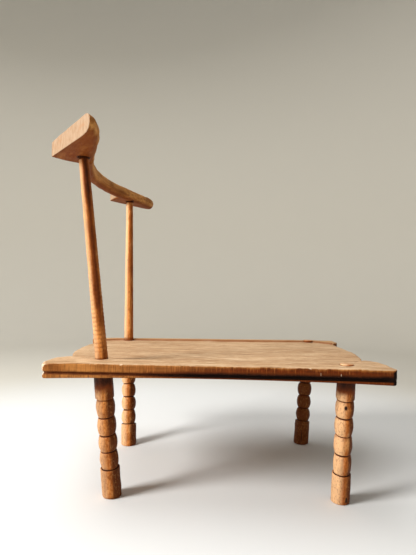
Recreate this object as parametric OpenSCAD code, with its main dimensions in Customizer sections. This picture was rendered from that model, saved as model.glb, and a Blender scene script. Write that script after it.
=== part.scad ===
// Low carved chair with a crescent head rail.
// A dished seat plank stands on four beaded legs. The two back legs run on
// upward through the plank as plain round posts and carry the head rail.
// +X runs along the plank from the head rail to the front end, +Z is up, and
// the origin is on the floor under the middle of the chair.

/* [Seat plank] */
// Height of the rims above the floor
seat_h = 244; // [225:1:265]
// Thickness of the plank at its ends
seat_t = 29; // [27:1:36]
// Length of the plank along its middle
seat_l = 592; // [560:2:620]
// Width of the plank at its back end, under the head rail
seat_w_back = 388; // [376:2:410]
// Width of the plank at its front end
seat_w_front = 434; // [420:2:460]
// How far the back end is out of square, in degrees
back_skew = 0.5; // [0:0.5:4]
// How far the front end is out of square, in degrees
front_skew = 3.5; // [0:0.5:4]
// How far the underside rises from the ends to the middle
arch = 5; // [1:0.5:7]
// How far a rim falls from its inner edge to its outer edge
rim_fall = 2.5; // [0.5:0.5:4]
// Width of the raised rims along the two long edges
rim_w = 38; // [32:1:44]
// Depth of the dished panel below the rims
dish_d = 4.5; // [2:0.5:8]
// Width of the lobe at each end, between the two ears
lobe_w = 268; // [240:2:290]
// How far the back lobe stops short of the ears' tips
back_lobe_short = 12; // [4:1:16]
// How far the front lobe stops short of the ears' tips
front_lobe_short = 10.5; // [4:0.5:16]
// Depth of the groove in the edge of the plank
groove_d = 3; // [1:0.5:5]

/* [Legs] */
// Diameter of the plain head of a leg, under the plank
head_d = 30.5; // [27:0.5:36]
// Diameter of the barrel beads
bead_d = 31; // [27:0.5:36]
// Diameter of the necks between the beads
neck_d = 26; // [20:1:27]
// Diameter of the plain foot
foot_d = 32; // [28:0.5:38]
// Diameter of the round tenon through the plank
tenon_d = 22; // [18:1:26]
// How far the front tenons stand above the rims' inner edges
tenon_proud = 1; // [0:0.5:4]

/* [Posts and head rail] */
// Diameter of a post just above the plank
post_d_low = 22; // [18:0.5:24]
// Diameter of a post at the head rail
post_d_top = 16.5; // [14:0.5:17]
// Height of the rail's underside at the posts
rail_h = 580; // [540:2:620]
// Depth of the blind sockets in the rail
socket_deep = 16; // [10:1:20]
// Diameter of the sockets, loose on the posts
socket_d = 18.5; // [17.5:0.5:20]
// Thickness of the rail, top to bottom
rail_t = 29; // [26:1:32]
// Width of the rail's slender middle
rod_w = 24; // [20:1:27]
// Radius of the rail's curve, along its middle line
rail_r = 400; // [380:10:430]
// Distance between the two horn tips
rail_span = 598; // [590:2:612]

/* [Hidden] */
$fn = 96;

seat_color = "#c9a97c";
leg_color = "#a8652c";
rail_color = "#9a6a3a";

// The chair was set up and carved by eye, so no two legs are alike.
// Each row: [foot x, y] on the floor, [hole x, y] at the rims, [where the
// beads start and end, measured up the leg], girth, [post top x, y].
NEAR_BACK = [[-190, -128], [-207, -160], [53, 84.5, 113.5, 145, 177], 1.05, [-243, -176]];
FAR_BACK = [[-202, 130], [-213, 161], [47, 79, 109, 139, 169], 1.08, [-222, 180]];
NEAR_FRONT = [[209, -143], [205, -184], [54, 90, 124, 156, 186.5], 1];
FAR_FRONT = [[210, 152], [231, 179], [53, 83, 113, 143, 173], 1.08];

seat_under = seat_h - seat_t;
lobe_half = lobe_w / 2;
back_x = -seat_l / 2 - 5;
front_x = back_x + seat_l;
mid_x = (back_x + front_x) / 2;
lip_h = 7.5;          // height of the lip under the groove, at the ends
groove_h = 4.5;       // height of the groove
ear_end = 14;         // the groove stops this far from the front ears' tips
fit_gap = 0.2;        // radial gap of a tenon in its hole
big = 900;            // larger than the chair, for cutting blocks

// How far the ears reach past the notches beside the lobes: [near, far].
BACK_EARS = [35, 23];
FRONT_EARS = [32, 19];

function flat(rows) = [for (row = rows) for (p = row) p];
function arc(c, r, a0, a1, n) =
    [for (i = [0:n]) let (a = a0 + (a1 - a0) * i / n) c + r * [cos(a), sin(a)]];
function mirror_y(points) =
    [for (i = [len(points) - 1:-1:0]) [points[i][0], -points[i][1]]];
function skewed(points, angle) = [for (p = points) [p[0] + p[1] * tan(angle), p[1]]];
function half_w(x) =
    (seat_w_back + (seat_w_front - seat_w_back) * (x - back_x) / seat_l) / 2;

// ---------------------------------------------------------------- seat plank

// Half of one end of the plank, from its middle to its side, drawn for an end
// that points along +X with its ears' tips at x = 0. A shallow round lobe
// meets the ear's rounded inner side in a notch.
function half_end(side_w, ear_l, lobe_short, inset) = let (
        outer_r = 9,
        lobe_l = ear_l - lobe_short,
        side_y = side_w - inset,
        notch_y = lobe_half + inset,
        // Width of the ear's rounded inner side.
        round_w = min(47, side_y - outer_r - notch_y - 0.5),
        lobe_r = (lobe_half * lobe_half + lobe_l * lobe_l) / (2 * lobe_l))
    flat([
        arc([-lobe_short - lobe_r - inset, 0], lobe_r, 0,
            asin((lobe_half - 2) / lobe_r), 16),
        [for (i = [1:12]) let (a = 90 - i * 7.5)
            [-ear_l + ear_l * cos(a) - inset, notch_y + round_w * (1 - sin(a))]],
        arc([-outer_r - inset, side_y - outer_r], outer_r, 0, 90, 8)]);

// One whole end: its near half, mirrored, and its far half.
function end_outline(side_w, ears, lobe_short, inset) =
    concat(mirror_y(half_end(side_w, ears[0], lobe_short, inset)),
           half_end(side_w, ears[1], lobe_short, inset));

// The whole outline, drawn in from the plank's edge by inset.
function seat_outline(inset) = let (
        front = [for (p = end_outline(seat_w_front / 2, FRONT_EARS, front_lobe_short, inset))
                 [front_x + p[0], p[1]]],
        back = [for (p = end_outline(seat_w_back / 2, BACK_EARS, back_lobe_short, inset))
                [back_x - p[0], p[1]]])
    concat(skewed(front, front_skew),
           skewed([for (i = [len(back) - 1:-1:0]) back[i]], -back_skew));

module seat_slab(z0, z1, inset) {
    translate([0, 0, z0])
        linear_extrude(z1 - z0) polygon(seat_outline(inset));
}

// One side of the dished panel: along the rim, closing in to the notches.
function dish_side(back_ear, front_ear, side) = let (
        flare = 42,       // length over which a rim widens into an ear
        b0 = back_x + back_ear - 3,
        f0 = front_x - front_ear + 3)
    concat(
        skewed([[back_x - 20, side * (lobe_half - 1)], [b0, side * (lobe_half - 1)],
                [b0 + flare, side * (half_w(b0 + flare) - rim_w)]], -back_skew),
        skewed([[f0 - flare, side * (half_w(f0 - flare) - rim_w)],
                [f0, side * (lobe_half - 1)], [front_x + 30, side * (lobe_half - 1)]], front_skew));

// The dished panel, open at both ends.
module dish() {
    near = dish_side(BACK_EARS[0], FRONT_EARS[0], -1);
    far = dish_side(BACK_EARS[1], FRONT_EARS[1], 1);
    translate([0, 0, seat_h - dish_d])
        linear_extrude(dish_d + 1)
            polygon(concat(near, [for (i = [len(far) - 1:-1:0]) far[i]]));
}

// The wedge of wood taken off a rim's top, so that it falls to its outer edge.
module rim_bevel(side) {
    edge_a = atan2(seat_w_front - seat_w_back, 2 * seat_l);
    fall_a = atan2(rim_fall, rim_w);
    translate([back_x, side * (seat_w_back / 2 - rim_w), seat_h])
        rotate([0, 0, side * edge_a]) rotate([-side * fall_a, 0, 0])
            translate([-50, side > 0 ? 0 : -100, 0]) cube([seat_l + 100, 100, 20]);
}

// The space under the plank, whose top is a shallow arch.
module below_plank() {
    half_l = seat_l / 2;
    r = (half_l * half_l + arch * arch) / (2 * arch);
    half_a = asin(half_l / r);
    crown = arc([mid_x, seat_under + arch - r], r, 90 - half_a, 90 + half_a, 24);
    rotate([90, 0, 0])
        linear_extrude(big, center = true)
            polygon(concat([[-big / 2, seat_under], [-big / 2, -big / 2],
                            [big / 2, -big / 2], [big / 2, seat_under]], crown));
}

// A round hole through the plank along a leg's line.
module leg_hole(low, high) {
    along(low, high, -20) cylinder(d = tenon_d + 2 * fit_gap, h = seat_t + 60);
}

// The plank's edge beside its front end, where the groove has died out.
module front_edge(z0, z1) {
    intersection() {
        seat_slab(z0, z1, 0.5);
        translate([front_x, 0, z0]) rotate([0, 0, -front_skew])
            translate([-ear_end, -big / 2, 0]) cube([2 * ear_end, big, z1 - z0]);
    }
}

module seat() {
    groove_z = seat_under + lip_h;
    color(seat_color)
    difference() {
        union() {
            seat_slab(groove_z + groove_h, seat_h, 0);
            seat_slab(groove_z, groove_z + groove_h, groove_d);
            front_edge(groove_z, groove_z + groove_h);
            seat_slab(seat_under, groove_z, 1);
        }
        dish();
        rim_bevel(1);
        rim_bevel(-1);
        below_plank();
        leg_hole(shoulder(NEAR_BACK), post_top(NEAR_BACK));
        leg_hole(shoulder(FAR_BACK), post_top(FAR_BACK));
        leg_hole(shoulder(NEAR_FRONT), at_rim(NEAR_FRONT));
        leg_hole(shoulder(FAR_FRONT), at_rim(FAR_FRONT));
    }
}

// ---------------------------------------------------------------------- legs

// Points on a leg's line: on the floor, level with the plank's underside and
// its rims, and at the top of its post.
function foot(leg) = [leg[0][0], leg[0][1], 0];
function at_rim(leg) = [leg[1][0], leg[1][1], seat_h];
function shoulder(leg) = foot(leg) + (at_rim(leg) - foot(leg)) * seat_under / seat_h;
function post_top(leg) = [leg[4][0], leg[4][1], rail_h];

// Stands its children on the line from low to high: their +Z runs along the
// line, and their origin is at low, moved along by start.
module along(low, high, start = 0) {
    d = high - low;
    translate(low) rotate([0, 0, atan2(d[1], d[0])]) rotate([0, acos(d[2] / norm(d)), 0])
        translate([0, 0, start]) children();
}

// Outline of one bead for a turned profile: an arc from z0 to z1.
module bead_profile(z0, z1, girth) {
    top_r = girth * bead_d / 2;
    rise = girth * (bead_d - neck_d) / 2;
    half = (z1 - z0) / 2;
    r = (half * half + rise * rise) / (2 * rise);
    intersection() {
        translate([top_r - r, z0 + half]) circle(r, $fn = 180);
        translate([0, z0]) square([bead_d, z1 - z0]);
    }
}

// A beaded leg on its own axis, from just below the floor to top.
module turned_leg(bead_z, girth, top) {
    worn = 2;         // wear at the foot's lower edge
    foot_r = girth * foot_d / 2;
    head_z = bead_z[len(bead_z) - 1];
    rotate_extrude() {
        // The core, a little fuller than the beads' ends, shows as a narrow
        // band between two beads.
        translate([0, -9]) square([girth * neck_d / 2 + 0.15, head_z + 10]);
        polygon([[0, -10], [foot_r - worn, -10], [foot_r - worn, 0.5],
                 [foot_r, worn + 0.5], [foot_r, bead_z[0]], [0, bead_z[0]]]);
        for (i = [1:len(bead_z) - 1]) bead_profile(bead_z[i - 1], bead_z[i], girth);
        translate([0, head_z]) square([girth * head_d / 2, top - head_z]);
    }
}

// The height of a leg's head: level with the lowest spot of the arched
// underside above it, so that the head touches the plank on one side.
function head_top(leg) = let (
        reach = abs(shoulder(leg)[0] - mid_x) + leg[3] * head_d / 2 + 1)
    seat_under + arch * (1 - pow(2 * reach / seat_l, 2)) - 0.05;

// The leg between the floor and the plank, cut flat at both ends.
module leg_below(leg) {
    intersection() {
        along(foot(leg), shoulder(leg))
            turned_leg(leg[2], leg[3], norm(shoulder(leg) - foot(leg)) + 12);
        translate([-big / 2, -big / 2, 0]) cube([big, big, head_top(leg)]);
    }
}

module front_leg(leg) {
    color(leg_color)
    union() {
        leg_below(leg);
        intersection() {
            along(shoulder(leg), at_rim(leg), -12)
                cylinder(d = tenon_d, h = seat_t + 40);
            translate([-big / 2, -big / 2, 0]) cube([big, big, seat_h + tenon_proud]);
        }
    }
}

module back_leg_post(leg) {
    low = shoulder(leg);
    high = post_top(leg);
    collar = seat_t + 1;    // the straight stretch inside the plank
    color(leg_color)
    union() {
        leg_below(leg);
        along(low, high, -12) cylinder(d = tenon_d, h = collar + 12);
        along(low, high, collar)
            cylinder(d1 = post_d_low, d2 = post_d_top,
                     h = norm(high - low) + socket_deep - 1 - collar);
    }
}

module near_back_leg_post() { back_leg_post(NEAR_BACK); }
module far_back_leg_post() { back_leg_post(FAR_BACK); }
module near_front_leg() { front_leg(NEAR_FRONT); }
module far_front_leg() { front_leg(FAR_FRONT); }

// ----------------------------------------------------------------- head rail

rail_mid = (post_top(NEAR_BACK) + post_top(FAR_BACK)) / 2;
rail_turn = -atan2(FAR_BACK[4][0] - NEAR_BACK[4][0], FAR_BACK[4][1] - NEAR_BACK[4][1]);
rail_back = 32;       // the slender middle lies this far behind the posts' line
rail_z = rail_t / 2 + 1.5;
horn_r = rail_t / 2;  // radius of a horn's rounded front edge

// The slender middle: an oval section swept round an arc.
module rod() {
    reach = 22;       // half the angle of the arc
    translate([rail_r - rail_back, 0, rail_z]) rotate([0, 0, 180 - reach])
        rotate_extrude(angle = 2 * reach, $fn = 360) translate([rail_r, 0]) {
            for (s = [-1, 1]) translate([0, s * (rail_t - rod_w) / 2]) circle(d = rod_w);
            square([rod_w, rail_t - rod_w], center = true);
        }
}

// One end: a horn that sweeps forward and a wing that reaches back, cut off
// together by one slanting upright saw cut from the wing's tip to the horn's.
// The horn's middle line comes forward of the posts by horn_x.
module rail_end(horn_x, wing_x) {
    wing_tip = [wing_x, 178];
    horn_tip = [horn_x + 10, rail_span / 2];
    cut = atan2(horn_tip[1] - wing_tip[1], horn_tip[0] - wing_tip[0]);
    difference() {
        hull() {
            translate([-9, 138, rail_z + 1]) sphere(r = 13.5, $fn = 32);
            translate([horn_x - 9, 236, rail_z + 2]) sphere(r = horn_r, $fn = 32);
            translate([horn_x - 1, 262, rail_z + 3]) sphere(r = horn_r, $fn = 32);
            translate([horn_x + 1, 284, rail_z + 4]) sphere(r = horn_r, $fn = 32);
            translate([horn_x - 15, 320, rail_z + 4]) sphere(r = horn_r, $fn = 32);
            translate([wing_tip[0] + 3, 175, 5]) cylinder(r = 3, h = 25, $fn = 32);
            translate([-24, 163, 6]) cylinder(r = 4, h = 24, $fn = 32);
            translate([-38, 240, 8]) cylinder(r = 3, h = 25, $fn = 32);
            translate([-10, 310, 9]) cylinder(r = 3, h = 26, $fn = 32);
        }
        translate([wing_tip[0], wing_tip[1], -10]) rotate([0, 0, cut])
            translate([-100, 0, 0]) cube([400, 200, 60]);
    }
}

// A blind socket for a post, drilled up from the rail's underside.
module socket(leg) {
    low = shoulder(leg);
    high = post_top(leg);
    along(low, high, norm(high - low) - 40) cylinder(d = socket_d, h = socket_deep + 40);
}

module head_rail() {
    color(rail_color)
    difference() {
        translate(rail_mid) rotate([0, 0, rail_turn]) {
            rod();
            mirror([0, 1, 0]) rail_end(37, -56);
            rail_end(27, -49);
        }
        socket(NEAR_BACK);
        socket(FAR_BACK);
    }
}

seat();
near_back_leg_post();
far_back_leg_post();
near_front_leg();
far_front_leg();
head_rail();
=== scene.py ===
"""A low carved chair with a crescent head rail: looks, floor, light and camera.

Every piece is built here in millimetres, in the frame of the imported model, and
turned into metres as its mesh is made.
"""

import math
from collections import namedtuple

import bpy
import numpy as np
from mathutils import Matrix, Vector
from mathutils.geometry import delaunay_2d_cdt
from mathutils.kdtree import KDTree

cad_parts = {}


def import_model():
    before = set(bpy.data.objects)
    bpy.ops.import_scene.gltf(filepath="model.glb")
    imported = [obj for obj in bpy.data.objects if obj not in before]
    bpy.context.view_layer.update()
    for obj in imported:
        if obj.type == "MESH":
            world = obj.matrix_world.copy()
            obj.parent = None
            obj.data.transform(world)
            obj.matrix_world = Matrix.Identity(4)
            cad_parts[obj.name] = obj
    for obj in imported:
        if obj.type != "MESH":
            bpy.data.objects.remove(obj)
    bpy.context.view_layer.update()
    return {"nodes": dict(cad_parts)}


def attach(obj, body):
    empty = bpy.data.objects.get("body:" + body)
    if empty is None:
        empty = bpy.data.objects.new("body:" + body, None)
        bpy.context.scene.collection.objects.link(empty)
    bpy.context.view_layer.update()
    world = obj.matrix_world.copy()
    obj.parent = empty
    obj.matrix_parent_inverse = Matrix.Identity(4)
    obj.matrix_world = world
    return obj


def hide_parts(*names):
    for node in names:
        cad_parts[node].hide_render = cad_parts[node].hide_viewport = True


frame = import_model()

MM = 0.001

# ------------ sizes, as in CAD
SEAT_H, SEAT_T, SEAT_L = 244.0, 29.0, 592.0
SEAT_W_BACK, SEAT_W_FRONT = 388.0, 434.0
BACK_SKEW, FRONT_SKEW = math.radians(0.5), math.radians(3.5)
ARCH, RIM_FALL, RIM_W, DISH_D = 5.0, 2.5, 38.0, 4.5
LOBE_W, BACK_LOBE_SHORT, FRONT_LOBE_SHORT = 268.0, 12.0, 10.5
# how far the ears reach past the notches: near, far
BACK_EARS, FRONT_EARS = (35.0, 23.0), (32.0, 19.0)
GROOVE_MID = 224.7
BACK_X = -SEAT_L / 2 - 5
FRONT_X = BACK_X + SEAT_L
SEAT_UNDER = SEAT_H - SEAT_T
HEAD_D, BEAD_D, NECK_D, FOOT_D, TENON_D = 30.5, 31.0, 26.0, 32.0, 22.0
POST_TOP_D = 16.5
RAIL_H, SOCKET_DEEP = 580.0, 16.0
RAIL_R, RAIL_BACK = 400.0, 32.0

# foot on the floor, hole at the rims' height, heights where the beads start and end, the
# post's top if it has one, girth, and how much painted light it keeps on its window side;
# below 1, the whole leg is painted in shade to that degree (the far front leg, in the
# plank's shadow, keeps little)
Leg = namedtuple("Leg", "foot hole beads post_top girth paleness")
LEGS = {
    "near_back_leg_post": Leg(
        (-190, -128), (-207, -160), (53, 84.5, 113.5, 145, 177), (-243, -176), 1.05, 0.74),
    "far_back_leg_post": Leg(
        (-202, 130), (-213, 161), (47, 79, 109, 139, 169), (-222, 180), 1.08, 1.0),
    "near_front_leg": Leg(
        (209, -143), (205, -184), (54, 90, 124, 156, 186.5), None, 1.0, 1.0),
    "far_front_leg": Leg(
        (210, 152), (231, 179), (53, 83, 113, 143, 173), None, 1.08, 0.1),
}
# wing tip and horn tip of each saw cut, in the rail's own frame
CUTS = {-1: ((-56.0, 178.0), (47.0, 299.0)), 1: ((-49.0, 178.0), (37.0, 299.0))}
# the room's window, and the level direction towards it, which the legs' painted light and
# shade follow
WINDOW_WAY = (-0.757, -0.455, 0.47)
WINDOW_SIDE = np.array([-0.857, -0.515, 0.0])


# ------------ helpers
WAVES = 14


def field(points, size, seed, stretch=(1, 1, 1)):
    """A smooth random field, about -1 to 1, whose bumps are about size mm."""
    rng = np.random.default_rng(seed)
    p = np.asarray(points, float) / np.array(stretch)
    total = np.zeros(len(p))
    for _ in range(WAVES):
        way = rng.normal(size=3)
        way /= np.linalg.norm(way)
        turn = math.tau / size * rng.uniform(0.5, 1.5)
        total += np.sin(p @ way * turn + rng.uniform(0, math.tau))
    return total / math.sqrt(WAVES)


def smoothstep(low, high, x):
    """0 at low and beyond, 1 at high and beyond; low may be the larger."""
    t = np.clip((np.asarray(x, float) - low) / (high - low), 0, 1)
    return t * t * (3 - 2 * t)


def bell(x, middle, width):
    """1 at the middle, falling to nearly 0 at twice the width."""
    return np.exp(-(((x - middle) / width) ** 2))


def blob(points, centre, reach):
    """1 at the centre, falling off within reach along each axis."""
    return bell(np.linalg.norm((points - np.array(centre)) / np.array(reach), axis=1), 0, 1)


def closed_resample(points, step):
    """Evenly spaced points round a closed outline."""
    p = np.asarray(points, float)
    p = p[np.linalg.norm(p - np.roll(p, 1, axis=0), axis=1) > 1e-6]
    q = np.vstack([p, p[:1]])
    run = np.concatenate([[0], np.cumsum(np.linalg.norm(np.diff(q, axis=0), axis=1))])
    n = int(round(run[-1] / step))
    at = np.linspace(0, run[-1], n, endpoint=False)
    return np.stack([np.interp(at, run, q[:, 0]), np.interp(at, run, q[:, 1])], 1)


def outward(ring):
    """Unit normals of a counter-clockwise ring."""
    t = np.roll(ring, -2, axis=0) - np.roll(ring, 2, axis=0)
    n = np.stack([t[:, 1], -t[:, 0]], 1)
    return n / np.linalg.norm(n, axis=1, keepdims=True)


def inside(points, ring):
    """Which 2-D points lie in a closed ring."""
    x, y = points[:, 0], points[:, 1]
    hit = np.zeros(len(points), bool)
    for (x0, y0), (x1, y1) in zip(ring, np.roll(ring, -1, axis=0)):
        if y0 == y1:
            continue
        cross = (y0 > y) != (y1 > y)
        hit ^= cross & (x < (x1 - x0) * (y - y0) / (y1 - y0) + x0)
    return hit


def ring_faces(rows, around, first=0, flip=False):
    """Quads that join rows of points, where each row goes once round."""
    faces = []
    for a in range(first, first + (rows - 1) * around, around):
        b = a + around
        for j in range(around):
            k = (j + 1) % around
            faces.append((a + j, b + j, b + k, a + k) if flip else (a + j, a + k, b + k, b + j))
    return faces


def placed(name, data):
    """A new object with this data, in the scene."""
    obj = bpy.data.objects.new(name, data)
    bpy.context.scene.collection.objects.link(obj)
    return obj


def make_piece(name, verts, faces, masks, grain, material, node):
    """A smooth mesh from points in mm, with its masks and grain directions."""
    mesh = bpy.data.meshes.new(name)
    mesh.from_pydata((np.asarray(verts) * MM).tolist(), [], faces)
    mesh.validate()
    for key, values in masks.items():
        layer = mesh.attributes.new(key, "FLOAT", "POINT")
        layer.data.foreach_set("value", np.asarray(values, np.float32))
    layer = mesh.attributes.new("grain", "FLOAT_VECTOR", "POINT")
    layer.data.foreach_set("vector", (np.asarray(grain) * MM).astype(np.float32).ravel())
    mesh.polygons.foreach_set("use_smooth", [True] * len(mesh.polygons))
    mesh.materials.append(material)
    obj = placed(name, mesh)
    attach(obj, "root")
    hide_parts(node)


# ------------ materials
def srgb(r, g, b):
    """A display colour, 0 to 255, as the linear colour that Blender wants."""
    def lin(c):
        c /= 255
        return c / 12.92 if c <= 0.04045 else ((c + 0.055) / 1.055) ** 2.4
    return (lin(r), lin(g), lin(b), 1.0)


class Graph:
    """Short calls for building one material's node tree."""

    def __init__(self, name):
        self.material = bpy.data.materials.new(name)
        self.material.use_nodes = True
        self.tree = self.material.node_tree
        self.shader = self.tree.nodes["Principled BSDF"]

    def node(self, kind, **settings):
        n = self.tree.nodes.new(kind)
        for key, value in settings.items():
            setattr(n, key, value)
        return n

    def put(self, socket, value):
        if isinstance(value, bpy.types.NodeSocket):
            self.tree.links.new(value, socket)
        elif value is not None:
            socket.default_value = value

    def attribute(self, name, output="Fac"):
        return self.node("ShaderNodeAttribute", attribute_name=name).outputs[output]

    def noise(self, vector, scale, detail, rough, warp=0.0):
        """Noise with its own scale along each axis, in waves to the metre."""
        place = self.node("ShaderNodeMapping")
        self.put(place.inputs["Vector"], vector)
        place.inputs["Scale"].default_value = scale
        n = self.node("ShaderNodeTexNoise")
        self.put(n.inputs["Vector"], place.outputs["Vector"])
        n.inputs["Scale"].default_value = 1.0
        n.inputs["Detail"].default_value = detail
        n.inputs["Roughness"].default_value = rough
        n.inputs["Distortion"].default_value = warp
        return n.outputs["Fac"]

    def math(self, operation, a, b=None):
        n = self.node("ShaderNodeMath", operation=operation)
        for socket, value in zip(n.inputs, (a, b)):
            self.put(socket, value)
        return n.outputs[0]

    def ramp(self, fac, low, high):
        """0 at low and beyond, 1 at high and beyond; low may be the larger."""
        n = self.node("ShaderNodeMapRange", interpolation_type="SMOOTHSTEP")
        self.put(n.inputs["Value"], fac)
        n.inputs["From Min"].default_value = low
        n.inputs["From Max"].default_value = high
        return n.outputs["Result"]

    def mix(self, fac, a, b, blend="MIX"):
        n = self.node("ShaderNodeMix", data_type="RGBA", blend_type=blend)
        self.put(n.inputs[0], fac)
        self.put(n.inputs[6], a)
        self.put(n.inputs[7], b)
        return n.outputs[2]

    def tint(self, colour, shade, mask, share):
        """The colour, with a share of another one wherever the mask is 1."""
        return self.mix(self.math("MULTIPLY", mask, share), colour, shade)

    def finish(self, colour, rough, height, depth, gloss):
        """Joins colour, roughness and bump to the shader; depth is in metres."""
        self.put(self.shader.inputs["Base Color"], colour)
        self.put(self.shader.inputs["Roughness"], rough)
        self.shader.inputs["Specular IOR Level"].default_value = gloss
        bump = self.node("ShaderNodeBump")
        bump.inputs["Strength"].default_value = 0.6
        bump.inputs["Distance"].default_value = depth
        self.put(bump.inputs["Height"], height)
        self.put(self.shader.inputs["Normal"], bump.outputs["Normal"])
        return self.material


def wood_base(g, light, mid, dark, ring_pitch, fibre):
    """The figure that all three woods share: fibres, rings, pores, mottling.

    Returns the colour, the height for bump, the mottling and the fibres.
    """
    grain = g.attribute("grain", "Vector")
    fibres = g.noise(grain, (18, 520, 520), 6.0, 0.65, 0.3)
    streaks = g.noise(grain, (5, 95, 95), 4.0, 0.55, 0.6)
    bands = g.noise(grain, (2.2, 1 / ring_pitch, 1 / ring_pitch), 2.0, 0.4, 0.8)
    rings = g.math("SINE", g.math("MULTIPLY", bands, 34.0))
    rings = g.ramp(rings, -0.2, 1.0)
    pores = g.noise(grain, (70, 1900, 1900), 2.0, 0.5)
    pores = g.ramp(pores, 0.60, 0.72)
    mottle = g.noise(grain, (14, 22, 22), 5.0, 0.6)
    colour = g.mix(g.ramp(streaks, 0.34, 0.68), light, mid)
    colour = g.mix(g.math("MULTIPLY", g.ramp(fibres, 0.40, 0.75), fibre), colour, dark)
    colour = g.tint(colour, dark, rings, 0.24)
    colour = g.tint(colour, dark, pores, 0.45)
    shade = g.ramp(mottle, 0.30, 0.72)
    colour = g.mix(g.math("MULTIPLY", shade, 0.30), colour, mid, "MULTIPLY")
    height = g.math("SUBTRACT", g.math("MULTIPLY", fibres, 0.7), g.math("MULTIPLY", pores, 0.6))
    height = g.math("ADD", height, g.math("MULTIPLY", streaks, 0.8))
    return colour, height, mottle, fibres


def broken(g, mask, noise, share):
    """A mask with its outline broken up by a noise."""
    return g.math("ADD", mask, g.math("MULTIPLY", g.math("SUBTRACT", noise, 0.5), share))


def seat_material():
    g = Graph("seat_wood")
    colour, height, mottle, fibres = wood_base(
        g, srgb(218, 186, 149), srgb(192, 156, 118), srgb(138, 98, 62), 0.011, 0.55)
    grain = g.attribute("grain", "Vector")
    grime = g.noise(grain, (60, 160, 160), 4.0, 0.65)
    # broad, faint clouds where hands and cloth have darkened the panel
    cloud = g.noise(grain, (3.5, 9, 9), 3.0, 0.55)
    colour = g.tint(colour, srgb(158, 120, 84), g.ramp(cloud, 0.44, 0.70), 0.42)
    # scuffs along the grain, pale and dark
    scuff = g.noise(grain, (30, 300, 300), 4.0, 0.7)
    colour = g.tint(colour, srgb(126, 90, 56), g.ramp(scuff, 0.53, 0.65), 0.75)
    colour = g.tint(colour, srgb(230, 206, 174), g.ramp(scuff, 0.46, 0.34), 0.60)
    # the far rim is browner, and painted shade lies on the panel's sloping edge under the rims
    colour = g.tint(colour, srgb(186, 138, 84), g.attribute("rim"), 0.45)
    corner = broken(g, g.attribute("wall"), grime, 0.5)
    colour = g.tint(colour, srgb(122, 66, 28), g.ramp(corner, 0.35, 0.95), 0.75)
    # smoked brown edge, darker towards the front, there partly painted shade, with fine upright
    # streaks
    upright = g.noise(grain, (620, 620, 34), 3.0, 0.6)
    side = g.mix(g.ramp(mottle, 0.32, 0.70), srgb(170, 112, 56), srgb(128, 74, 30))
    front_stain_and_shade = g.mix(g.ramp(grime, 0.35, 0.7), srgb(106, 43, 8), srgb(74, 27, 5))
    side = g.mix(g.attribute("deep"), side, front_stain_and_shade)
    side = g.tint(side, srgb(66, 26, 8), g.ramp(fibres, 0.45, 0.7), 0.25)
    side = g.tint(side, srgb(60, 24, 6), g.ramp(upright, 0.50, 0.64), 0.42)
    side = g.tint(side, srgb(196, 122, 60), g.ramp(upright, 0.46, 0.34), 0.30)
    boundary = broken(g, broken(g, g.attribute("edge"), grime, 0.12), upright, 0.30)
    colour = g.mix(g.ramp(boundary, 0.24, 0.66), colour, side)
    # scorched band in and over the groove, and painted shade on the front ears' end faces
    burnt_and_shaded = broken(g, g.attribute("scorch_and_shade"), grime, 0.40)
    burnt_and_shaded = broken(g, burnt_and_shaded, upright, 0.30)
    colour = g.mix(g.ramp(burnt_and_shaded, 0.14, 0.60), colour, srgb(92, 42, 12))
    colour = g.mix(g.ramp(burnt_and_shaded, 0.40, 0.95), colour, srgb(20, 7, 3))
    # bare, rubbed corners
    rubbed = broken(g, g.attribute("worn"), grime, 1.1)
    colour = g.mix(g.ramp(rubbed, 0.50, 0.80), colour, srgb(222, 198, 168))
    rough = g.math("ADD", 0.52, g.math("MULTIPLY", fibres, 0.22))
    return g.finish(colour, rough, height, 0.0005, 0.07)


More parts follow.
